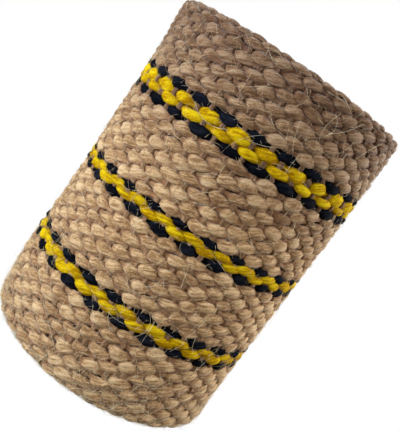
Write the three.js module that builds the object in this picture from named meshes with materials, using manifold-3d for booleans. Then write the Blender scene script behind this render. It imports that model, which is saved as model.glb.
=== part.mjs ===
// Short rainstick: a tube with a spiral of pegs through its wall and loose seeds inside, closed by two
// wooden discs and wrapped in a striped jute webbing whose selvedges are turned over the tube's ends.
// Millimetres, +Z up. The origin is the centre of the ring that the rainstick stands on, and the seam of
// the webbing faces +Y.
import * as THREE from "three";
import { mergeVertices } from "three/addons/utils/BufferGeometryUtils.js";
import Module from "manifold-3d";

const wasm = await Module();
wasm.setup();

// Driving dimensions.
const LENGTH = 120; // over the turned selvedges
const OUTER_RADIUS = 43;
const CLEARANCE = 0.3; // between pieces that touch
const BORE_RADIUS = 38; // inside of the tube
const TUBE_WALL = 2.4;

const WEBBING = 2.3; // thickness of the jute webbing
const HEM_INNER_RADIUS = 35.6; // how far in the turned selvedge reaches
const HEM_CORNER = 2.4; // radius of the turn over the rim
const STRIPE_DEPTH = 1.2; // how deep the coloured warp yarns are drawn into the webbing
const STRIPES = [
  { name: "top", high: 97.3, upperBlack: 2.5, yellow: 5, lowerBlack: 2.5 },
  { name: "middle", high: 64, upperBlack: 1.6, yellow: 2.8, lowerBlack: 2.4 },
  { name: "bottom", high: 34.6, upperBlack: 2.1, yellow: 3.6, lowerBlack: 2.1 },
]; // the height of each stripe's upper edge, and the widths of its yarns from the top down
const SEAM = { width: 10, depth: 1.7, bottom: 5, top: LENGTH - 5 };
const STITCH = { radius: 0.55, reach: 3.2, pitch: 5.4, centreRadius: 42.25 };

const DISC = { thickness: 8, chamfer: 0.8 };
const BRAD = { radius: 0.8, inner: 29, perEnd: 3, firstAngle: 105 };
const PEG = { radius: 1.25, tip: 12, count: 24, perTurn: 12, firstHeight: 19 };
const SEED = { halfHeight: 3.6, outerRing: 31.5, innerRing: 21.2 };

const ROUND_SIDES = 42;
const PIN_SIDES = 10;
const HOLE_SIDES = 12;

// Dimensions that follow from them.
const tubeRadius = BORE_RADIUS + TUBE_WALL;
const webbingInnerRadius = OUTER_RADIUS - WEBBING;
const innerBottom = WEBBING + CLEARANCE; // the tube and the bottom disc start here
const innerTop = LENGTH - innerBottom;
const discRadius = BORE_RADIUS - CLEARANCE;
const chamberBottom = innerBottom + DISC.thickness;
const pegHeightStep = (innerTop + innerBottom - 2 * PEG.firstHeight) / (PEG.count - 1);

const jute = new THREE.MeshStandardMaterial({ color: 0xa98a66, roughness: 0.95, metalness: 0 });
const yellowJute = new THREE.MeshStandardMaterial({ color: 0xe0b400, roughness: 0.9, metalness: 0 });
const blackJute = new THREE.MeshStandardMaterial({ color: 0x10131a, roughness: 0.9, metalness: 0 });
const twine = new THREE.MeshStandardMaterial({ color: 0xc2a57c, roughness: 0.9, metalness: 0 });
const cardboard = new THREE.MeshStandardMaterial({ color: 0x9c7b55, roughness: 0.9, metalness: 0 });
const wood = new THREE.MeshStandardMaterial({ color: 0xc79a66, roughness: 0.6, metalness: 0 });
const bamboo = new THREE.MeshStandardMaterial({ color: 0xd8bf8a, roughness: 0.6, metalness: 0 });
const steel = new THREE.MeshStandardMaterial({ color: 0x9a9a98, roughness: 0.35, metalness: 1 });
const seedCoat = new THREE.MeshStandardMaterial({ color: 0xb98a55, roughness: 0.7, metalness: 0 });

const rainstick = new THREE.Group();

function add(name, geometry, material) {
  const mesh = new THREE.Mesh(geometry, material);
  mesh.name = name;
  rainstick.add(mesh);
  return mesh;
}

// A closed geometry as a manifold-3d solid, for cutting.
function solidOf(geometry) {
  const bare = new THREE.BufferGeometry().setAttribute(
    "position",
    (geometry.index ? geometry.toNonIndexed() : geometry).getAttribute("position").clone(),
  );
  const merged = mergeVertices(bare, 1e-3);
  return new wasm.Manifold(
    new wasm.Mesh({
      numProp: 3,
      vertProperties: merged.attributes.position.array,
      triVerts: new Uint32Array(merged.index.array),
    }),
  );
}

function geometryOf(solid) {
  const mesh = solid.getMesh();
  return new THREE.BufferGeometry()
    .setAttribute("position", new THREE.BufferAttribute(mesh.vertProperties, 3))
    .setIndex(new THREE.BufferAttribute(mesh.triVerts, 1));
}

function cut(geometry, tools) {
  return geometryOf(tools.reduce((left, tool) => left.subtract(solidOf(tool)), solidOf(geometry)));
}

// A profile of [radius, height] points, anticlockwise, turned about the Z axis.
function turned(profile) {
  const points = profile.map(([radius, height]) => new THREE.Vector2(radius, height));
  return new THREE.LatheGeometry(points, ROUND_SIDES).rotateX(Math.PI / 2);
}

// A rod that lies along a radius of the tube, at an angle in degrees about Z.
function radialRod(radius, inner, outer, height, angle, sides) {
  return new THREE.CylinderGeometry(radius, radius, outer - inner, sides)
    .rotateZ(-Math.PI / 2)
    .translate((inner + outer) / 2, 0, height)
    .rotateZ(THREE.MathUtils.degToRad(angle));
}

const pegs = Array.from({ length: PEG.count }, (_, i) => ({
  radius: PEG.radius,
  height: PEG.firstHeight + i * pegHeightStep,
  angle: (i * 360) / PEG.perTurn,
}));

const brads = ["bottom", "top"].flatMap((end) =>
  Array.from({ length: BRAD.perEnd }, (_, i) => ({
    end,
    number: i + 1,
    radius: BRAD.radius,
    height: end === "bottom" ? innerBottom + DISC.thickness / 2 : innerTop - DISC.thickness / 2,
    angle: BRAD.firstAngle + (i * 360) / BRAD.perEnd,
  })),
);

const pastTheWall = tubeRadius + 2;
const holeFor = (rod, inner) =>
  radialRod(rod.radius + CLEARANCE, inner, pastTheWall, rod.height, rod.angle, HOLE_SIDES);
const bradHoles = (end) =>
  brads.filter((brad) => brad.end === end).map((brad) => holeFor(brad, BRAD.inner - CLEARANCE));

// A shallow bed along the butted seam, where the stitches lie.
const seamBed = new THREE.BoxGeometry(SEAM.width, 10, SEAM.top - SEAM.bottom).translate(
  0,
  OUTER_RADIUS - SEAM.depth + 5,
  (SEAM.top + SEAM.bottom) / 2,
);

const lowEdge = (stripe) => stripe.high - stripe.upperBlack - stripe.yellow - stripe.lowerBlack;

// The webbing's natural yarns: a band round the tube with its selvedges turned inwards over both ends,
// and a channel for each stripe.
function sleeve() {
  const corner = (bottom) =>
    [0, 1, 2, 3].map((i) => {
      const angle = bottom ? -Math.PI / 2 + (i * Math.PI) / 6 : (i * Math.PI) / 6;
      const centreHeight = bottom ? HEM_CORNER : LENGTH - HEM_CORNER;
      return [
        OUTER_RADIUS - HEM_CORNER + HEM_CORNER * Math.cos(angle),
        centreHeight + HEM_CORNER * Math.sin(angle),
      ];
    });
  const channels = [...STRIPES].reverse().flatMap((stripe) => [
    [OUTER_RADIUS, lowEdge(stripe)],
    [OUTER_RADIUS - STRIPE_DEPTH, lowEdge(stripe)],
    [OUTER_RADIUS - STRIPE_DEPTH, stripe.high],
    [OUTER_RADIUS, stripe.high],
  ]);
  const band = turned([
    [HEM_INNER_RADIUS, 0],
    ...corner(true),
    ...channels,
    ...corner(false),
    [HEM_INNER_RADIUS, LENGTH],
    [HEM_INNER_RADIUS, LENGTH - WEBBING],
    [webbingInnerRadius, LENGTH - WEBBING],
    [webbingInnerRadius, WEBBING],
    [HEM_INNER_RADIUS, WEBBING],
    [HEM_INNER_RADIUS, 0],
  ]);
  return cut(band, [seamBed]);
}

// A coloured yarn, or the yellow pair, woven round the tube from one side of the seam to the other.
function warpRing(low, high) {
  const inner = OUTER_RADIUS - STRIPE_DEPTH + CLEARANCE;
  const ring = turned([
    [inner, low + CLEARANCE / 2],
    [OUTER_RADIUS, low + CLEARANCE / 2],
    [OUTER_RADIUS, high - CLEARANCE / 2],
    [inner, high - CLEARANCE / 2],
    [inner, low + CLEARANCE / 2],
  ]);
  return cut(ring, [seamBed]);
}

// One length of twine that crosses the seam from side to side.
function seamStitches() {
  const crossings = Math.floor((SEAM.top - SEAM.bottom - 2 * STITCH.reach) / STITCH.pitch);
  const firstHeight = LENGTH / 2 - (crossings * STITCH.pitch) / 2;
  const points = Array.from({ length: crossings + 1 }, (_, i) => {
    const side = i % 2 ? 1 : -1;
    return new THREE.Vector3(
      side * STITCH.reach,
      Math.sqrt(STITCH.centreRadius ** 2 - STITCH.reach ** 2),
      firstHeight + i * STITCH.pitch,
    );
  });
  const section = new THREE.Shape().absarc(0, 0, STITCH.radius, 0, 2 * Math.PI);
  return new THREE.ExtrudeGeometry(section, {
    steps: crossings * 4,
    curveSegments: 4,
    bevelEnabled: false,
    extrudePath: new THREE.CatmullRomCurve3(points),
  });
}

function tube() {
  const wall = turned([
    [BORE_RADIUS, innerBottom],
    [tubeRadius, innerBottom],
    [tubeRadius, innerTop],
    [BORE_RADIUS, innerTop],
    [BORE_RADIUS, innerBottom],
  ]);
  const pegHoles = pegs.map((peg) => holeFor(peg, BORE_RADIUS - 2));
  return cut(wall, [...pegHoles, ...bradHoles("bottom"), ...bradHoles("top")]);
}

function endDisc(end) {
  const low = end === "bottom" ? innerBottom : innerTop - DISC.thickness;
  const high = low + DISC.thickness;
  const disc = turned([
    [0, low],
    [discRadius - DISC.chamfer, low],
    [discRadius, low + DISC.chamfer],
    [discRadius, high - DISC.chamfer],
    [discRadius - DISC.chamfer, high],
    [0, high],
  ]);
  return cut(disc, bradHoles(end));
}

// Seeds lie in the lanes between the columns of pegs, so that each can run the length of the tube.
const laneAngle = (i) => ((i + 0.5) * 360) / PEG.perTurn;
const outerLanes = Array.from({ length: PEG.perTurn }, (_, i) => ({
  ring: SEED.outerRing,
  angle: laneAngle(i),
  size: 4.2 - 0.3 * (i % 3),
}));
const innerLanes = [1, 5, 9].map((i) => ({ ring: SEED.innerRing, angle: laneAngle(i), size: 3.7 }));
const lanes = [...outerLanes, ...innerLanes, { ring: 0, angle: 0, size: 4.2 }];

function seed({ ring, angle, size }) {
  return new THREE.IcosahedronGeometry(1, 1)
    .scale(size, 0.93 * size, SEED.halfHeight)
    .translate(ring, 0, chamberBottom + CLEARANCE + SEED.halfHeight)
    .rotateZ(THREE.MathUtils.degToRad(angle));
}

const numbered = (name, i) => `${name}_${String(i + 1).padStart(2, "0")}`;

add("jute_sleeve", sleeve(), jute);
for (const stripe of STRIPES) {
  const yellowHigh = stripe.high - stripe.upperBlack;
  const yellowLow = yellowHigh - stripe.yellow;
  add(`${stripe.name}_stripe_upper_black`, warpRing(yellowHigh, stripe.high), blackJute);
  add(`${stripe.name}_stripe_yellow`, warpRing(yellowLow, yellowHigh), yellowJute);
  add(`${stripe.name}_stripe_lower_black`, warpRing(lowEdge(stripe), yellowLow), blackJute);
}
add("seam_stitching", seamStitches(), twine);
add("tube", tube(), cardboard);
add("bottom_disc", endDisc("bottom"), wood);
add("top_disc", endDisc("top"), wood);
for (const { end, number, radius, height, angle } of brads) {
  const rod = radialRod(radius, BRAD.inner, tubeRadius, height, angle, PIN_SIDES);
  add(`${end}_brad_${number}`, rod, steel);
}
pegs.forEach(({ radius, height, angle }, i) => {
  add(numbered("peg", i), radialRod(radius, PEG.tip, tubeRadius, height, angle, PIN_SIDES), bamboo);
});
lanes.forEach((lane, i) => add(numbered("seed", i), seed(lane), seedCoat));

export default rainstick;
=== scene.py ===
"""The look of a short rainstick: a tube wrapped in coarse striped jute webbing, with wooden end discs.

The webbing is a warp-faced plain weave. Its warp yarns run round the tube and its wefts run along it, so
each warp yarn shows as a row of bobbles, one over every second weft, and the wefts show in the gaps
between them.

Lengths are in millimetres until mesh_piece() turns them into metres, except for the camera and lights.
An azimuth is an angle round the tube, 0 at the front, -Y, and growing towards +X. A place on the webbing
is an azimuth, a distance along its width, up from the bottom rim's plane, and a distance out from its
surface.
"""
import math

import bpy
import numpy as np
from mathutils import Matrix, Vector


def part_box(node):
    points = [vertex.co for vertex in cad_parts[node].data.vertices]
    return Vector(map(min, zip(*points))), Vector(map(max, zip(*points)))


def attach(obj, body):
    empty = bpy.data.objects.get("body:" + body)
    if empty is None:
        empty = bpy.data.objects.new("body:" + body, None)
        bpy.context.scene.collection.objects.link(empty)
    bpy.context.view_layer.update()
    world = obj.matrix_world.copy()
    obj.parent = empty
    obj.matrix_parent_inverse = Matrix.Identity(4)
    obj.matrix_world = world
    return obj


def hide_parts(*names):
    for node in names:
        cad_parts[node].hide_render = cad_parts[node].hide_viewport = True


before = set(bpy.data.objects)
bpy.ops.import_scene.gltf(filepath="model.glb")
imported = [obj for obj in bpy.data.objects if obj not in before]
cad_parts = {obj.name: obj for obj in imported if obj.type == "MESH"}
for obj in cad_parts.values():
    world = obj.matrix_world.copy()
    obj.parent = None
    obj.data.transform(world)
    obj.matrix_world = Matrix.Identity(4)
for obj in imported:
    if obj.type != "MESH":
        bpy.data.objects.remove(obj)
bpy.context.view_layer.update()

MM = 0.001
TURN = 2 * np.pi


def node_box(node):
    """A node's lowest and highest corners, in millimetres."""
    return [np.array(corner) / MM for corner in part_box(node)]


# ---------------------------------------------------------------- camera and light

# Fitted to the picture's outline and stripes. In metres, with the roll in degrees.
CAMERA = {"place": (0.0, -0.2230, 0.1013), "aim": (0.0018, 0.0, 0.0612), "roll": 34.8, "lens": 53.3}
OBJECT_MIDDLE = (0, 0, 0.06)
LIGHTS = (
    # name, azimuth and elevation in degrees, distance and size in metres, power in watts, colour
    ("key", -55, 3, 0.50, 0.42, 5.35, (0.78, 0.885, 1.0)),
    ("rim", 100, 36, 0.42, 0.62, 3.8, (0.88, 0.95, 1.0)),
    ("back", 178, 30, 0.60, 0.50, 1.6, (1, 1, 1)),
)
WORLD_LIGHT = (0.111, (1.0, 0.77, 0.44))  # how strongly it lights the object, and its tint
FLOOR_LIGHT = (0.16, (1.0, 0.84, 0.58))
FLOOR_REACH = 3000  # half the floor's side
FLOOR_HEIGHT = -0.2


def make_camera():
    data = bpy.data.cameras.new("camera")
    data.lens = CAMERA["lens"]
    data.sensor_width = 36
    data.clip_start = 0.005
    camera = bpy.data.objects.new("camera", data)
    bpy.context.scene.collection.objects.link(camera)
    place, aim = Vector(CAMERA["place"]), Vector(CAMERA["aim"])
    level = (aim - place).to_track_quat("-Z", "Y").to_matrix().to_4x4()
    roll = Matrix.Rotation(math.radians(CAMERA["roll"]), 4, "Z")
    camera.matrix_world = Matrix.Translation(place) @ level @ roll
    bpy.context.scene.camera = camera


def area_light(name, azimuth, elevation, distance, size, power, colour):
    """A square softbox that faces the middle of the object."""
    data = bpy.data.lights.new(name, "AREA")
    data.energy, data.size, data.color = power, size, colour
    light = bpy.data.objects.new(name, data)
    bpy.context.scene.collection.objects.link(light)
    turn, rise = math.radians(azimuth), math.radians(elevation)
    away = Vector((math.sin(turn) * math.cos(rise), -math.cos(turn) * math.cos(rise), math.sin(rise)))
    light.location = Vector(OBJECT_MIDDLE) + away * distance
    light.rotation_euler = away.to_track_quat("Z", "Y").to_euler()
    light.visible_camera = False


def white_to_look_at(tree, shader, strength, tint):
    """A shader that looks plain white, and lights other things with its own strength and tint."""
    seen_part, lit_part = tree.nodes.new(shader), tree.nodes.new(shader)
    for part, value, colour in ((seen_part, 1.0, (1, 1, 1)), (lit_part, strength, tint)):
        part.inputs["Color"].default_value = (*colour, 1)
        part.inputs["Strength"].default_value = value
    mix = tree.nodes.new("ShaderNodeMixShader")
    path = tree.nodes.new("ShaderNodeLightPath")
    tree.links.new(path.outputs["Is Camera Ray"], mix.inputs[0])
    tree.links.new(lit_part.outputs[0], mix.inputs[1])
    tree.links.new(seen_part.outputs[0], mix.inputs[2])
    return mix.outputs[0]


def make_world():
    world = bpy.data.worlds.new("studio")
    bpy.context.scene.world = world
    world.use_nodes = True
    tree = world.node_tree
    tree.nodes.clear()
    output = tree.nodes.new("ShaderNodeOutputWorld")
    surroundings = white_to_look_at(tree, "ShaderNodeBackground", *WORLD_LIGHT)
    tree.links.new(surroundings, output.inputs["Surface"])


# ---------------------------------------------------------------- meshes


def mesh_piece(name, points, faces, material, **attributes):
    """A smooth piece of the body root, from points in millimetres and arrays of faces with equal sides.

    An attribute has a vector for each point, which the material reads by the attribute's name.
    """
    points = np.asarray(points, np.float32).ravel()
    mesh = bpy.data.meshes.new(name)
    mesh.vertices.add(len(points) // 3)
    mesh.vertices.foreach_set("co", points * MM)
    loops = np.concatenate([face.ravel() for face in faces])
    sides = np.concatenate([np.full(len(face), face.shape[1]) for face in faces])
    starts = np.concatenate([[0], np.cumsum(sides)[:-1]])
    mesh.loops.add(len(loops))
    mesh.loops.foreach_set("vertex_index", loops.astype(np.int32))
    mesh.polygons.add(len(sides))
    mesh.polygons.foreach_set("loop_start", starts.astype(np.int32))
    mesh.update(calc_edges=True)
    mesh.polygons.foreach_set("use_smooth", np.full(len(sides), True))
    for key, values in attributes.items():
        layer = mesh.attributes.new(key, "FLOAT_VECTOR", "POINT")
        layer.data.foreach_set("vector", np.asarray(values, np.float32).ravel())
    mesh.update()
    piece = bpy.data.objects.new(name, mesh)
    bpy.context.scene.collection.objects.link(piece)
    mesh.materials.append(material)
    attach(piece, "root")
    return piece


def vectors(shape, *parts):
    """A vector for each point of that shape, from three parts that broadcast to it."""
    return np.stack([np.broadcast_to(part, shape) for part in parts], -1)


def ring_quads(rings, sides):
    """Quads from each ring of points to the next."""
    ring = np.arange(rings - 1)[:, None] * sides
    side = np.arange(sides)[None, :]
    ahead = (side + 1) % sides
    corners = (ring + side, ring + ahead, ring + sides + ahead, ring + sides + side)
    return np.stack(corners, -1).reshape(-1, 4)


def tube_faces(tubes, rings, sides):
    """Quads and end caps for a number of alike tubes, each with a number of rings of points."""
    quads = ring_quads(rings, sides)
    caps = np.stack([np.arange(sides)[::-1], (rings - 1) * sides + np.arange(sides)])
    offset = (np.arange(tubes) * rings * sides)[:, None, None]
    return [(quads[None] + offset).reshape(-1, 4), (caps[None] + offset).reshape(-1, sides)]


def swept(paths, radii, sides):
    """Round tubes along paths (tube, step, xyz) with a radius at each step."""
    any_way = np.array([0.31, 0.17, 0.93])  # no path runs along it
    ahead = np.gradient(paths, axis=1)
    ahead /= np.linalg.norm(ahead, axis=2, keepdims=True) + 1e-12
    level = np.cross(ahead, any_way)
    level /= np.linalg.norm(level, axis=2, keepdims=True) + 1e-12
    upright = np.cross(level, ahead)
    angle = np.arange(sides) * TURN / sides
    around = (
        level[:, :, None] * np.cos(angle)[None, None, :, None]
        + upright[:, :, None] * np.sin(angle)[None, None, :, None]
    )
    return paths[:, :, None] + around * radii[:, :, None, None]


# ---------------------------------------------------------------- the webbing's shape

SLEEVE_TOP = node_box("jute_sleeve")[1]
HEIGHT = SLEEVE_TOP[2]
RADIUS = SLEEVE_TOP[1]
CORNER = 2.4  # radius of the turn over each rim
QUARTER = CORNER * np.pi / 2  # length of that turn
HEM = 5.0  # flat part of the turned selvedge
HEM_ROWS = 3
TUCK = 0.3  # how much closer to the tube the webbing lies where it has turned
COLUMNS = 52  # wefts
COLUMN_STEP = TURN / COLUMNS
FIRST_COLUMN = math.radians(3.8)  # azimuth of the first weft, at FIRST_HEIGHT
FIRST_HEIGHT = 91.0
COLUMN_LEAN = math.radians(0.045)  # how far the wefts lean, for each millimetre down
SWAY = ((0.010, 9.0, 2.4), (0.008, 23.0, -1.3))  # a weft's waves: reach, length and phase for each column
SEAM_GAP = 0.6  # half the gap between the webbing's cut ends
STEPS = 18  # rings of points for each bobble
SIDES = 20  # points round a warp yarn

LUMPS = (
    # azimuth in degrees, height, how far out, and its spread round in degrees and along
    (-85, 22, 0.8, 45, 15),
    (-85, 62, -0.4, 40, 16),
    (-85, 92, -0.8, 40, 18),
    (85, 100, 0.2, 40, 30),
    (85, 12, -0.3, 40, 14),
    (-20, 50, 0.3, 30, 14),
    (30, 72, -0.3, 30, 14),
    (150, 60, 0.6, 40, 30),
    (200, 95, -0.5, 40, 20),
)

# Half the length and half the width of a bobble. A stripe's four rows are given from its top down.
NATURAL_LENGTH = 3.45
NATURAL_WIDTH = 0.72  # of the distance between rows
STRIPE_BOBBLES = {
    "top": ((3.2, 1.50), (3.75, 1.95), (3.6, 1.45), (3.2, 1.60)),
    "middle": ((3.0, 1.30), (3.9, 1.42), (3.9, 1.42), (3.0, 1.60)),
    "bottom": ((3.1, 1.45), (3.7, 1.45), (3.85, 1.65), (3.1, 1.60)),
}
STRIPE_MARGIN = 0.15  # how far a stripe's rows go past its CAD rings
PAST_RIM = 0.3  # how far past a rim's plane its outer rows go
TOP_RIM_ROWS_END = HEIGHT - 8.8  # where each rim's piece ends
BOTTOM_RIM_ROWS_END = 10.0
SPLIT = 1.3  # the two pieces of a band meet this far above its middle


def swell(azimuth, along):
    """How far the webbing stands out or in, because it isn't drawn quite evenly round the tube."""
    fade = np.clip(np.minimum(along + 3, HEIGHT + 3 - along) / 10, 0, 1)
    out = 0.12 * np.cos(5 * azimuth + 9 * along / HEIGHT) + 0.08 * np.cos(3 * azimuth - along / 9)
    for turn, height, reach, around, spread in LUMPS:
        apart = (azimuth - math.radians(turn) + np.pi) % TURN - np.pi
        beside, above = apart / math.radians(around), (along - height) / spread
        out = out + reach * np.exp(-(beside**2) - above**2)
    return fade * out


def place(azimuth, along, out):
    """The point at a place on the webbing, which turns inwards past either rim."""
    azimuth, along, out = np.broadcast_arrays(azimuth, along, out)
    over = np.maximum(along - (HEIGHT - CORNER), 0) - np.maximum(CORNER - along, 0)
    turned = np.clip(np.abs(over) / CORNER, 0, np.pi / 2)
    out = out + swell(azimuth, along) - TUCK * np.sin(turned)
    inwards = np.maximum(np.abs(over) - QUARTER, 0)
    radius = RADIUS - CORNER + (CORNER + out) * np.cos(turned) - inwards
    height = np.clip(along, CORNER, HEIGHT - CORNER) + np.sign(over) * (CORNER + out) * np.sin(turned)
    return np.stack([radius * np.sin(azimuth), -radius * np.cos(azimuth), height], -1)


def stripe_edges(stripe):
    """The heights, from the top down, that bound a stripe's upper black, yellow and lower black rows."""
    upper, yellow, lower = (
        node_box(f"{stripe}_stripe_{yarn}") for yarn in ("upper_black", "yellow", "lower_black")
    )
    tops = [box[1][2] + STRIPE_MARGIN for box in (upper, yellow)]
    bottoms = [box[0][2] - STRIPE_MARGIN for box in (yellow, lower)]
    return tops + bottoms


def webbing_rows():
    """The warp yarns from the top down: each one's middle, pitch, dye, bobbles and the piece it is in."""
    rows = []

    def fill(high, low, count, dye, piece):
        pitch = (high - low) / count
        for i in range(count):
            along = high - (i + 0.5) * pitch
            bobble = (NATURAL_LENGTH, NATURAL_WIDTH * pitch)
            rows.append({"along": along, "pitch": pitch, "dye": dye, "piece": piece, "bobble": bobble})

    def band(high, low, name):
        middle = (high + low) / 2 + SPLIT
        fill(high, middle, 4, "natural", f"warp_{name}_band_a")
        fill(middle, low, 5, "natural", f"warp_{name}_band_b")

    def stripe(name, edges):
        fill(edges[0], edges[1], 1, "black", f"{name}_stripe_upper_black_yarn")
        fill(edges[1], edges[2], 2, "yellow", f"{name}_stripe_yellow_yarns")
        fill(edges[2], edges[3], 1, "black", f"{name}_stripe_lower_black_yarn")
        for row, bobble in zip(rows[-4:], STRIPE_BOBBLES[name]):
            row["bobble"] = bobble

    top, middle, bottom = (stripe_edges(name) for name in ("top", "middle", "bottom"))
    fill(HEIGHT - CORNER + QUARTER + HEM, HEIGHT + PAST_RIM, HEM_ROWS, "natural", "warp_top_rim")
    fill(HEIGHT + PAST_RIM, TOP_RIM_ROWS_END, 4, "natural", "warp_top_rim")
    fill(TOP_RIM_ROWS_END, top[0], 6, "natural", "warp_top_band")
    stripe("top", top)
    band(top[-1], middle[0], "upper")
    stripe("middle", middle)
    band(middle[-1], bottom[0], "lower")
    stripe("bottom", bottom)
    fill(bottom[-1], BOTTOM_RIM_ROWS_END, 6, "natural", "warp_bottom_band")
    fill(BOTTOM_RIM_ROWS_END, -PAST_RIM, 4, "natural", "warp_bottom_rim")
    fill(-PAST_RIM, CORNER - QUARTER - HEM, HEM_ROWS, "natural", "warp_bottom_rim")
    for number, row in enumerate(rows):
        row["number"] = number
        row["odd"] = (number - HEM_ROWS) % 2  # odd rows pass over the wefts that even rows pass under
    return rows


ROWS = webbing_rows()

# ---------------------------------------------------------------- the webbing's yarns

rng = np.random.default_rng(11)
TRAITS = rng.normal(size=(len(ROWS), COLUMNS, 5)).clip(-2, 2)  # of each bobble, named below
SHIFT, FAT, RISE, TILT, LENGTH = range(5)
WANDER = rng.uniform(0, TURN, size=(len(ROWS), 6))  # phases for each row
WANDER_REACH = 0.16

# The warp yarns fray towards the bottom, from the first of these heights to the second.
FRAY_STARTS, FRAY_ENDS = 34, 8
COLUMN_JITTER = 0.010  # radians
TWIST = 0.24  # of a yarn's strands, in radians for each millimetre
FIBRE_LAY = math.radians(15)  # of the fibres that the material draws, across the yarn
# A yarn's section where it dips under a weft, and how much more there is of it on a bobble.
UNDER = 0.36  # half its width, in pitches
THICKNESS = (0.60, 0.46)  # half its thickness
OUT = (-1.58, 0.66)  # its middle, out from the webbing's surface
BLUNT, BLUNT_WIDTH = 0.7, 0.8  # the lower these powers, the blunter a bobble is
# How strongly a bobble's trait or a yarn's relief shows, and how much more where the yarn has frayed.
SHOWS = {"fat": (0.08, 0.05), "rise": (0.06, 0.05), "relief": (0.055, 0.055)}
THINNED = 0.11  # how much thinner a frayed yarn is
LEAN, LEAN_SPREAD, FRAYED_LEAN = 0.12, 0.20, 0.6  # a bobble's rise from its left end to its right one
SEAM_TAPER, SEAM_DIP, SEAM_WIDTH = 3.0, 0.7, 0.75  # how a yarn's last bit dips and narrows at the seam
CROWDING = 0.42  # how much closer together a yarn's points are on its outside
PAINTED_SHADE_DEPTH = -2.0  # how far in the material's painted shade in the hollows is at its darkest
RIDGES = (
    # a strand ridge's height, number round the yarn and phase, and its wobble's reach, length and phase
    (1.1, 4, 5, 1.2, 11, 3),
    (1.0, 7, 0, 0.8, 7, 3),
    (0.7, 11, 1, 1.1, 5, 4),
    (0.4, 17, 2, 0.0, 1, 0),
)


def column_azimuth(column, along):
    """Where a weft is, at a distance along the webbing's width."""
    sway = sum(reach * np.cos(along / length + column * phase) for reach, length, phase in SWAY)
    return FIRST_COLUMN + column * COLUMN_STEP + COLUMN_LEAN * (FIRST_HEIGHT - along) + sway


def wander(row, azimuth):
    """How far along the webbing a row strays, in slow waves round the tube."""
    phases = WANDER[row["number"]]
    waves = ((0.5, 3), (0.3, 5), (0.3, 9))  # share and number round the tube
    return WANDER_REACH * sum(
        share * np.cos(count * azimuth + phase) for (share, count), phase in zip(waves, phases)
    )


def bobbles(row, azimuth):
    """How far along its bobble a row is at each azimuth, from -1 to 1, and that bobble's traits."""
    columns = np.arange(-COLUMNS // 2 - 2, COLUMNS // 2 + 3)
    own = columns[(columns % 2) == row["odd"]]
    jitter = COLUMN_JITTER * TRAITS[row["number"], own % COLUMNS, SHIFT]
    middles = column_azimuth(own, row["along"]) + jitter
    cycle = np.interp(azimuth, middles, np.arange(len(own), dtype=float))
    nearest = np.rint(cycle).astype(int)
    trait = TRAITS[row["number"], own[nearest] % COLUMNS]
    half_length = row["bobble"][0] * (1 + 0.07 * trait[:, LENGTH])
    along_bobble = (cycle - nearest) * 2 * COLUMN_STEP * RADIUS / half_length
    if row["dye"] == "natural":  # blunt on the left and drawn out to the right
        skew = 0.16 + 0.07 * trait[:, SHIFT]
        along_bobble = along_bobble + skew * np.clip(1 - along_bobble**2, 0, 1)
    return along_bobble, trait


def ridges(row, run, angle):
    """The relief of a yarn's twisted strands, along its run and round its section."""
    strand = angle[None, :] + TWIST * run[:, None]
    phases = WANDER[row["number"]]
    total = 0
    for height, count, phase, reach, length, wobble_phase in RIDGES:
        wobble = reach * np.cos(run[:, None] / length + phases[wobble_phase])
        total = total + height * np.cos(count * strand + phases[phase] + wobble)
    return total


def warp_yarn(row):
    """Points of one warp yarn, with the fibre and yarn vectors that its material reads."""
    pitch = row["pitch"]
    end = math.pi - SEAM_GAP / RADIUS
    azimuth = np.linspace(-end, end, COLUMNS // 2 * STEPS + 1)
    run = azimuth * RADIUS
    along_bobble, trait = bobbles(row, azimuth)
    fray = (FRAY_STARTS - row["along"]) / (FRAY_STARTS - FRAY_ENDS)
    frayed = np.clip(fray, 0, 1) if row["dye"] == "natural" else 0
    shows = {key: whole + more * frayed for key, (whole, more) in SHOWS.items()}
    dome = np.clip(1 - along_bobble**2, 0, 1) ** BLUNT
    fat = (1 + shows["fat"] * trait[:, FAT]) * (1 - THINNED * frayed)

    # The yarn's section: half its width and half its thickness, round a middle along and out.
    under = UNDER * pitch
    half_width = under + (row["bobble"][1] * fat - under) * dome**BLUNT_WIDTH
    rise = pitch * shows["rise"] * trait[:, RISE] * dome
    tilt = along_bobble * (LEAN + LEAN_SPREAD * trait[:, TILT]) * (1 + FRAYED_LEAN * frayed) * dome
    middle = row["along"] + wander(row, azimuth) + rise + tilt
    thickness = THICKNESS[0] + THICKNESS[1] * dome * fat
    out = OUT[0] + OUT[1] * dome + 0.10 * trait[:, LENGTH] * dome
    near_end = np.clip((end - np.abs(azimuth)) * RADIUS / SEAM_TAPER, 0, 1)
    out = out - SEAM_DIP * (1 - near_end) ** 2
    half_width = half_width * (SEAM_WIDTH + (1 - SEAM_WIDTH) * near_end)

    share = np.arange(SIDES) / SIDES
    angle = -np.pi / 2 + TURN * share + CROWDING * np.sin(TURN * share)
    bulge = 1 + shows["relief"] * ridges(row, run, angle)
    sideways = middle[:, None] + half_width[:, None] * np.cos(angle) * bulge
    outwards = out[:, None] + thickness[:, None] * np.sin(angle) * bulge

    across, lay = angle * 1.15, FIBRE_LAY
    fibre = vectors(
        sideways.shape,
        run[:, None] * math.cos(lay) - across[None] * math.sin(lay),
        run[:, None] * math.sin(lay) + across[None] * math.cos(lay),
        row["number"] * 7.3,
    )
    # How far in the surface lies; the material paints shade in the hollows from it.
    depth = np.clip((outwards - PAINTED_SHADE_DEPTH) / -PAINTED_SHADE_DEPTH, 0, 1)
    yarn = vectors(depth.shape, trait[:, FAT, None], depth, 0)
    return place(azimuth[:, None], sideways, outwards), fibre, yarn


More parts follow.
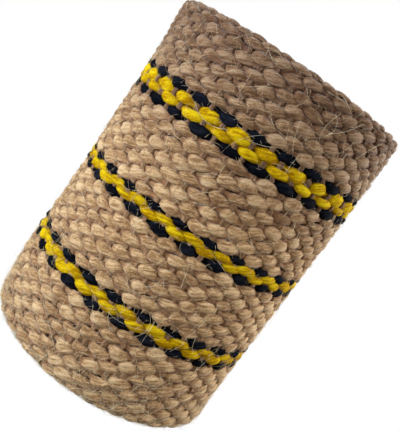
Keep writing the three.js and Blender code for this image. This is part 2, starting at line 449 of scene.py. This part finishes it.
def make_warp(materials):
    """The warp yarns, joined into one piece for each piece name."""
    names = {}
    for row in ROWS:
        names.setdefault(row["piece"], []).append(row)
    pieces = []
    for name, rows in names.items():
        points, fibre, yarn = (np.stack(part) for part in zip(*map(warp_yarn, rows)))
        faces = tube_faces(len(rows), points.shape[1], SIDES)
        pieces.append(mesh_piece(name, points, faces, materials[rows[0]["dye"]], fibre=fibre, yarn=yarn))
    return pieces


def make_wefts(name, columns, material):
    """Three strands twisted together for each weft, which rise over the rows that dip under them."""
    strands, radius, sides, per_row = 3, 0.60, 6, 4
    twist = 0.5  # radians for each row
    depth, rise = -1.40, 0.34  # of a weft's middle, and how it waves over the rows
    strand_out, strand_aside = 0.20, 0.38  # how far a strand is from that middle
    steps = np.arange((len(ROWS) - 1) * per_row + 1) / per_row
    along = np.interp(steps, np.arange(len(ROWS)), [row["along"] for row in ROWS])
    paths, tones = [], []
    for column in columns:
        over = np.cos(np.pi * (steps - HEM_ROWS + column % 2 + 1))  # 1 where the weft lies on a row
        for strand in range(strands):
            turned = strand * TURN / strands + twist * steps + column
            out = depth + rise * over + strand_out * np.sin(turned)
            azimuth = column_azimuth(column, along) + strand_aside * np.cos(turned) / RADIUS
            paths.append(place(azimuth, along, out))
            tones.append(np.cos(column * 3.1 + strand * 1.9))
    paths = np.array(paths)
    points = swept(paths, np.full(paths.shape[:2], radius), sides)
    count, rings = paths.shape[:2]
    shape = points.shape[:3]
    which = np.arange(count)[:, None, None]
    fibre = vectors(shape, along[:, None], np.arange(sides) * 0.37, which * 3.7)
    # The wefts lie deep in the weave at a middling depth, so the material paints them largely with its
    # hollow shade.
    yarn = vectors(shape, np.array(tones)[:, None, None], 0.5, 0)
    return mesh_piece(name, points, tube_faces(count, rings, sides), material, fibre=fibre, yarn=yarn)


def make_ground(material):
    """The webbing's inner face, which backs the gaps between its yarns, coloured dark as painted shade.
    """
    around, across, depth = 208, 90, -2.1
    azimuth = np.linspace(-math.pi, math.pi, around + 1)[:-1]
    along = np.linspace(ROWS[-1]["along"], ROWS[0]["along"], across)
    points = place(azimuth[None, :], along[:, None], depth)
    return mesh_piece("painted_shade_backing", points, [ring_quads(across, around)], material)


def make_stitches(material):
    """Two-ply twine that zigzags over the butted seam and dips into the webbing between stitches."""
    low, high = node_box("seam_stitching")
    twine_radius, ply_radius, ply_offset = 0.55, 0.42, 0.30
    pitch, per_stitch, sides, margin = 5.4, 14, 10, 0.6
    reach = high[0] - twine_radius
    crossings = int(round((high[2] - low[2]) / pitch))
    steps = crossings * per_stitch + 1
    share = np.linspace(0, crossings, steps)  # in stitches
    side = np.interp(share, np.arange(crossings + 1), reach * (-1.0) ** np.arange(crossings + 1))
    height = np.interp(share, [0, crossings], [low[2] + margin, high[2] - margin])
    height = height + 0.25 * np.cos(share * 2.3)
    out = -1.3 + 1.55 * np.abs(np.sin(np.pi * share)) ** 0.5 + 0.1 * np.cos(share * 1.7)
    plies = []
    for ply in (0, np.pi):
        spin = share * 9.5 + ply
        azimuth = np.pi + (side + ply_offset * np.cos(spin)) / RADIUS
        plies.append(place(azimuth, height + ply_offset * np.sin(spin), out + 0.2 * np.cos(spin)))
    paths = np.array(plies)
    points = swept(paths, np.full(paths.shape[:2], ply_radius), sides)
    shape = points.shape[:3]
    which = np.array([0.0, 5.0])[:, None, None]
    fibre = vectors(shape, (share * 8)[:, None], np.arange(sides) * 0.3, which)
    faces = tube_faces(len(plies), steps, sides)
    return mesh_piece("seam_twine", points, faces, material, fibre=fibre, yarn=vectors(shape, 0, 1, 0))


def make_fuzz(name, material, count, length, thickness, seed, steps, lift, lean):
    """Stray fibres on the webbing: each leaves the weave, wanders, and comes back or ends in the air.

    The higher lean is over 1, the more of them start low down. The higher lift, the further they rise.
    """
    draw = np.random.default_rng(seed)
    past_rim, sides = 4.0, 3
    cleared, moved_up = 0.6, 9  # this share of those that would start on a dyed row start above it
    loose = 0.35  # the share that ends in the air
    root, lowest = -0.45, 0.35  # how far out a fibre starts, and how much further it rises at least
    azimuth = draw.uniform(-math.pi, math.pi, count)
    along = -past_rim + (HEIGHT + 2 * past_rim) * draw.uniform(0, 1, count) ** lean
    dyed = [(row["along"], row["pitch"]) for row in ROWS if row["dye"] != "natural"]
    on_stripe = np.any([np.abs(along - middle) < pitch * 0.6 for middle, pitch in dyed], 0)
    along = np.where(on_stripe & (draw.uniform(0, 1, count) < cleared), along + moved_up, along)
    heading = draw.normal(math.radians(18), 0.75, count) + np.pi * draw.integers(0, 2, count)
    reach = length * draw.lognormal(0, 0.45, count)
    bend = draw.normal(0, 1.1, (count, 1)) + draw.normal(0, 0.9, (count, 1)) * np.linspace(-1, 1, steps)
    stride = reach[:, None] / (steps - 1)
    course = heading[:, None] + np.cumsum(bend / steps, 1)
    sideways = np.cumsum(np.cos(course) * stride, 1)
    upwards = np.cumsum(np.sin(course) * stride, 1)
    share = np.linspace(0, 1, steps)
    in_the_air = draw.uniform(0, 1, count) < loose
    profile = np.where(in_the_air[:, None], share**1.3, np.sin(np.pi * share) ** 0.8)
    out = root + (lowest + lift * draw.gamma(1.6, 0.5, count))[:, None] * profile
    paths = place(azimuth[:, None] + sideways / RADIUS, along[:, None] + upwards, out)
    paths[..., 2] = np.maximum(paths[..., 2], 0.1)  # above the floor
    radii = thickness * draw.uniform(0.7, 1.3, (count, 1)) * (1 - 0.55 * share[None, :])
    points = swept(paths, radii, sides)
    tone = draw.normal(size=(count, 1, 1)).clip(-2, 2)
    yarn = vectors(points.shape[:3], tone, 1, 0)
    return mesh_piece(name, points, tube_faces(count, steps, sides), material, yarn=yarn)


# ---------------------------------------------------------------- the discs


def make_disc(name, node, material, up):
    """A turned disc in place of a plain one, with a rounded edge and tool rings on its outer face."""
    low, high = node_box(node)
    radius, thickness = high[0], high[2] - low[2]
    face = high[2] if up else low[2]
    inwards = -1 if up else 1
    centre, edge, chamfer, around = 0.6, 0.8, 0.3, 120
    reach = np.linspace(centre, radius - edge, 60)
    tooling = 0.035 * np.cos(reach * 5.1) + 0.025 * np.cos(reach * 11.7 + 1.0)
    tooling = tooling + 0.05 * np.exp(-(((reach - 3) / 2) ** 2))
    profile = [(r, face + inwards * (0.08 + depth)) for r, depth in zip(reach, tooling)]
    for turn in np.linspace(0, np.pi / 2, 5):
        depth = edge * (1 - math.cos(turn) + 0.1)
        profile.append((radius - edge + edge * math.sin(turn), face + inwards * depth))
    profile.append((radius, face + inwards * (thickness - chamfer)))
    profile.append((radius - chamfer, face + inwards * thickness))
    profile.append((centre, face + inwards * thickness))
    if up:
        profile = profile[::-1]
    azimuth = np.arange(around) * TURN / around
    radii, heights = (np.array(part)[:, None] for part in zip(*profile))
    points = vectors((len(profile), around), radii * np.sin(azimuth), -radii * np.cos(azimuth), heights)
    return mesh_piece(name, points, tube_faces(1, len(profile), around), material)


# ---------------------------------------------------------------- materials

# Each yarn's darkest, middling and lightest colours, its painted hollow shade colour, whether it takes
# painted shade towards the top, and its sheen.
YARNS = {
    "natural_jute": {
        "dark": (0.31, 0.160, 0.065),
        "base": (0.595, 0.350, 0.160),
        "light": (0.84, 0.575, 0.315),
        "deep": (0.38, 0.172, 0.076),
        "painted_top_shade": True,
    },
    "yellow_jute": {
        "dark": (0.40, 0.19, 0.0),
        "base": (0.66, 0.385, 0.001),
        "light": (0.86, 0.61, 0.008),
        "deep": (0.37, 0.185, 0.001),
        "sheen": 0.02,
    },
    "black_jute": {
        "dark": (0.0015, 0.002, 0.004),
        "base": (0.003, 0.004, 0.008),
        "light": (0.014, 0.016, 0.024),
        "deep": (0.001, 0.001, 0.002),
        "sheen": 0.0,
    },
    "weft_jute": {
        "dark": (0.23, 0.115, 0.050),
        "base": (0.47, 0.255, 0.122),
        "light": (0.66, 0.41, 0.225),
        "deep": (0.33, 0.175, 0.082),
        "painted_top_shade": True,
    },
    "seam_twine": {
        "dark": (0.34, 0.21, 0.11),
        "base": (0.56, 0.38, 0.21),
        "light": (0.76, 0.58, 0.38),
        "deep": (0.26, 0.15, 0.08),
    },
}
TOP_SHADE_FROM, TOP_SHADE_TO = 0.066, 0.116  # heights in metres between which painted shade darkens and tints the jute more and more towards the top
# The painted shade's tint, multiplied into the jute's colour at the top.
TOP_SHADE_TINT = (0.45, 0.41, 0.46)
FIBRES = {  # darkest and lightest
    "short_fibres": ((0.74, 0.50, 0.26), (1.0, 0.80, 0.52)),
    "long_fibres": ((0.86, 0.67, 0.38), (1.0, 0.91, 0.64)),
}

SOLIDS = {
    "bamboo": {
        "colours": ((0.55, 0.40, 0.20), (0.72, 0.57, 0.34)),
        "scale": 260.0,
        "roughness": 0.45,
        "bump": 0.2,
    },
    "brad_steel": {
        "colours": ((0.42, 0.42, 0.41), (0.62, 0.62, 0.60)),
        "scale": 900.0,
        "roughness": 0.35,
        "bump": 0.1,
        "metallic": 1.0,
    },
    "seed_coat": {
        "colours": ((0.36, 0.20, 0.09), (0.62, 0.42, 0.22)),
        "scale": 420.0,
        "stretch": (1.0, 1.0, 0.5),
        "roughness": 0.55,
        "bump": 0.4,
    },
    "cardboard": {
        "colours": ((0.30, 0.20, 0.12), (0.44, 0.31, 0.20)),
        "scale": 160.0,
        "stretch": (1.0, 1.0, 4.0),
        "roughness": 0.85,
        "bump": 0.3,
    },
    # Painted shade: a near-black brown, for the sheet seen in the gaps between the yarns.
    "painted_shade_backing": {
        "colours": ((0.085, 0.046, 0.025), (0.155, 0.087, 0.048)),
        "scale": 700.0,
        "stretch": (1.0, 1.0, 0.4),
        "roughness": 0.85,
        "bump": 0.4,
    },
}
WOOD_COLOURS = [(0.48, (0.60, 0.40, 0.21)), (0.60, (0.50, 0.30, 0.14)), (0.74, (0.30, 0.155, 0.062))]


def new_material(name):
    material = bpy.data.materials.new(name)
    material.use_nodes = True
    tree = material.node_tree
    return material, tree, tree.nodes["Principled BSDF"]


def join(tree, sockets, values):
    """Sets each socket to its value: a number, a colour or another node's output."""
    for socket, value in zip(sockets, values):
        if isinstance(value, (int, float)):
            socket.default_value = value
        elif isinstance(value, tuple):
            socket.default_value = (*value, 1)
        else:
            tree.links.new(value, socket)


def math_node(tree, operation, *values):
    node = tree.nodes.new("ShaderNodeMath")
    node.operation = operation
    join(tree, node.inputs, values)
    return node.outputs[0]


def weigh(tree, parts):
    """The sum of (value, weight) parts."""
    total = 0.0
    for value, weight in parts:
        total = math_node(tree, "MULTIPLY_ADD", value, weight, total)
    return total


def mix_colour(tree, factor, first, second, blend="MIX"):
    node = tree.nodes.new("ShaderNodeMix")
    node.data_type = "RGBA"
    node.blend_type = blend
    join(tree, (node.inputs[0], node.inputs[6], node.inputs[7]), (factor, first, second))
    return node.outputs[2]


def noise(tree, vector, scale, stretch=(1, 1, 1), detail=3.0, roughness=0.55):
    mapping = tree.nodes.new("ShaderNodeMapping")
    mapping.inputs["Scale"].default_value = stretch
    tree.links.new(vector, mapping.inputs["Vector"])
    node = tree.nodes.new("ShaderNodeTexNoise")
    node.inputs["Scale"].default_value = scale
    node.inputs["Detail"].default_value = detail
    node.inputs["Roughness"].default_value = roughness
    tree.links.new(mapping.outputs[0], node.inputs["Vector"])
    return node.outputs["Fac"]


def ramp(tree, value, stops):
    node = tree.nodes.new("ShaderNodeValToRGB")
    elements = node.color_ramp.elements
    while len(elements) < len(stops):
        elements.new(0.5)
    for element, (position, colour) in zip(elements, stops):
        element.position = position
        element.color = (*colour, 1)
    tree.links.new(value, node.inputs["Fac"])
    return node.outputs["Color"]


def map_range(tree, value, low, high, to_low=0.0, to_high=1.0):
    node = tree.nodes.new("ShaderNodeMapRange")
    join(tree, list(node.inputs)[:5], (value, low, high, to_low, to_high))
    return node.outputs[0]


def relief(tree, shader, height, strength, distance=0.0002):
    bumps = tree.nodes.new("ShaderNodeBump")
    bumps.inputs["Strength"].default_value = strength
    bumps.inputs["Distance"].default_value = distance
    tree.links.new(height, bumps.inputs["Height"])
    tree.links.new(bumps.outputs[0], shader.inputs["Normal"])


def attribute(tree, name):
    node = tree.nodes.new("ShaderNodeAttribute")
    node.attribute_name = name
    return node.outputs["Vector"]


def parts_of(tree, vector):
    split = tree.nodes.new("ShaderNodeSeparateXYZ")
    tree.links.new(vector, split.inputs[0])
    return split.outputs


def yarn_material(name):
    """Twisted bast fibres: streaks along the fibres, a tone for each bobble, painted shade in the hollows
    and, for some yarns, painted shade towards the top.
    """
    look = YARNS[name]
    material, tree, shader = new_material(name)
    fibre = attribute(tree, "fibre")
    tone, depth, _ = parts_of(tree, attribute(tree, "yarn"))
    strands = noise(tree, fibre, 1.0, (0.17, 1.5, 1.0), 3.0, 0.6)
    hairs = noise(tree, fibre, 1.0, (0.5, 4.5, 1.0), 3.0, 0.6)
    blotches = noise(tree, fibre, 0.35, (0.6, 1.0, 1.0), 2.0)
    grains = noise(tree, fibre, 1.6, (1.0, 1.6, 1.0), 3.0, 0.7)
    speckle = math_node(tree, "SUBTRACT", grains, 0.5)
    mixed = weigh(tree, ((strands, 0.75), (hairs, 0.45), (tone, 0.03), (blotches, 0.35), (speckle, 0.45)))
    colour = ramp(tree, mixed, [(0.65, look["dark"]), (0.77, look["base"]), (0.90, look["light"])])
    # Painted shade in the hollows: where the yarn's surface lies deep in the weave, the colour goes over
    # to the hollow shade colour.
    colour = mix_colour(tree, map_range(tree, depth, 0.36, 0.86), look["deep"], colour)
    # Painted shade: the colour is darkened and tinted more and more towards the top.
    if look.get("painted_top_shade"):
        position = tree.nodes.new("ShaderNodeNewGeometry").outputs["Position"]
        painted_top_shade = map_range(tree, parts_of(tree, position)[2], TOP_SHADE_FROM, TOP_SHADE_TO)
        colour = mix_colour(tree, painted_top_shade, colour, mix_colour(tree, 1.0, colour, TOP_SHADE_TINT, "MULTIPLY"))
    tree.links.new(colour, shader.inputs["Base Color"])
    sheen = look.get("sheen", 0.3)
    shader.inputs["Roughness"].default_value = 0.82
    shader.inputs["Specular IOR Level"].default_value = 0.05 + 0.5 * sheen
    shader.inputs["Sheen Weight"].default_value = sheen
    shader.inputs["Sheen Roughness"].default_value = 0.4
    height = weigh(tree, ((strands, 1.0), (grains, 0.4), (hairs, 0.5)))
    relief(tree, shader, height, strength=1.0, distance=0.0004)
    return material


def fibre_material(name):
    """Single bast fibres, each with a tone of its own."""
    dark, light = FIBRES[name]
    material, tree, shader = new_material(name)
    tone = map_range(tree, parts_of(tree, attribute(tree, "yarn"))[0], -2.0, 2.0)
    tree.links.new(mix_colour(tree, tone, dark, light), shader.inputs["Base Color"])
    shader.inputs["Roughness"].default_value = 0.6
    return material


def solid_material(name):
    """A material with one noise, stretched in the object's own axes, for its colour and its relief."""
    look = SOLIDS[name]
    material, tree, shader = new_material(name)
    where = tree.nodes.new("ShaderNodeTexCoord").outputs["Object"]
    grain = noise(tree, where, look["scale"], look.get("stretch", (1.0, 1.0, 1.0)), 4.0, 0.6)
    low, high = look["colours"]
    tree.links.new(ramp(tree, grain, [(0.32, low), (0.68, high)]), shader.inputs["Base Color"])
    rough = map_range(tree, grain, 0.3, 0.7, look["roughness"] + 0.1, look["roughness"] - 0.1)
    tree.links.new(rough, shader.inputs["Roughness"])
    shader.inputs["Metallic"].default_value = look.get("metallic", 0.0)
    relief(tree, shader, grain, look["bump"])
    return material


def wood_material(name, shift):
    """Sawn softwood: growth rings cut lengthways, fine fibres and an oiled, uneven tone."""
    material, tree, shader = new_material(name)
    moved = tree.nodes.new("ShaderNodeMapping")
    moved.inputs["Location"].default_value = (0.013 * shift, 0.0047 * shift, 0)
    tree.links.new(tree.nodes.new("ShaderNodeTexCoord").outputs["Object"], moved.inputs["Vector"])
    where = moved.outputs[0]
    rings = noise(tree, where, 1.0, (260.0, 9.0, 30.0), 2.0, 0.5)
    fibres = noise(tree, where, 1.0, (1500.0, 70.0, 900.0), 3.0, 0.6)
    tone = noise(tree, where, 45.0, (1.0, 1.0, 1.0), 2.0)
    mixed = weigh(tree, ((rings, 0.60), (fibres, 0.35), (tone, 0.25)))
    tree.links.new(ramp(tree, mixed, WOOD_COLOURS), shader.inputs["Base Color"])
    tree.links.new(map_range(tree, mixed, 0.3, 0.9, 0.48, 0.66), shader.inputs["Roughness"])
    relief(tree, shader, fibres, strength=0.35)
    return material


def floor_material():
    """White from above and clear from below, so that the underside can be looked at."""
    material, tree, shader = new_material("pale_floor")
    tree.nodes.remove(shader)
    mix = tree.nodes.new("ShaderNodeMixShader")
    geometry = tree.nodes.new("ShaderNodeNewGeometry")
    tree.links.new(geometry.outputs["Backfacing"], mix.inputs[0])
    tree.links.new(white_to_look_at(tree, "ShaderNodeEmission", *FLOOR_LIGHT), mix.inputs[1])
    tree.links.new(tree.nodes.new("ShaderNodeBsdfTransparent").outputs[0], mix.inputs[2])
    tree.links.new(mix.outputs[0], tree.nodes["Material Output"].inputs["Surface"])
    return material


def make_floor():
    square = ((-1, -1), (1, -1), (1, 1), (-1, 1))
    corners = np.array([(x * FLOOR_REACH, y * FLOOR_REACH, FLOOR_HEIGHT) for x, y in square]) * MM
    mesh = bpy.data.meshes.new("floor")
    mesh.from_pydata(corners.tolist(), [], [(0, 1, 2, 3)])
    floor = bpy.data.objects.new("floor", mesh)
    bpy.context.scene.collection.objects.link(floor)
    mesh.materials.append(floor_material())
    return floor


# ---------------------------------------------------------------- the scene

bpy.context.scene.view_settings.view_transform = "Standard"
make_camera()
make_world()
for light in LIGHTS:
    area_light(*light)

dyes = {dye: yarn_material(f"{dye}_jute") for dye in ("natural", "yellow", "black")}
weft = yarn_material("weft_jute")
short_fibre, long_fibre = (fibre_material(name) for name in FIBRES)

warp = make_warp(dyes)
wefts = [
    make_wefts(f"wefts_{side}", range(COLUMNS * part // 3, COLUMNS * (part + 1) // 3), weft)
    for part, side in enumerate(("front", "back", "side"))
]
backing = make_ground(solid_material("painted_shade_backing"))
hairs = [
    make_fuzz("short_stray_fibres_a", short_fibre, 5200, 2.6, 0.034, 3, steps=7, lift=0.25, lean=2.2),
    make_fuzz("short_stray_fibres_b", short_fibre, 5200, 3.4, 0.042, 4, steps=7, lift=0.30, lean=3.0),
    make_fuzz("long_stray_fibres", long_fibre, 2100, 7.5, 0.052, 5, steps=9, lift=0.55, lean=3.0),
]
for piece in [*warp, *wefts, backing, *hairs]:
    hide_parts("jute_sleeve")
for piece in warp:
    ring, _, yarn = piece.name.rpartition("_yarn")
    if ring:
        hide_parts(ring)

twine = make_stitches(yarn_material("seam_twine"))
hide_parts("seam_stitching")

for node, up, shift in (("bottom_disc", False, 8.0), ("top_disc", True, 3.0)):
    disc = make_disc(f"turned_{node}", node, wood_material(f"{node}_wood", shift), up)
    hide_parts(node)

finishes = {
    "peg": solid_material("bamboo"),
    "brad": solid_material("brad_steel"),
    "seed": solid_material("seed_coat"),
    "tube": solid_material("cardboard"),
}
for node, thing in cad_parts.items():
    for kind, finish in finishes.items():
        if kind in node:
            thing.data.materials.clear()
            thing.data.materials.append(finish)

make_floor()
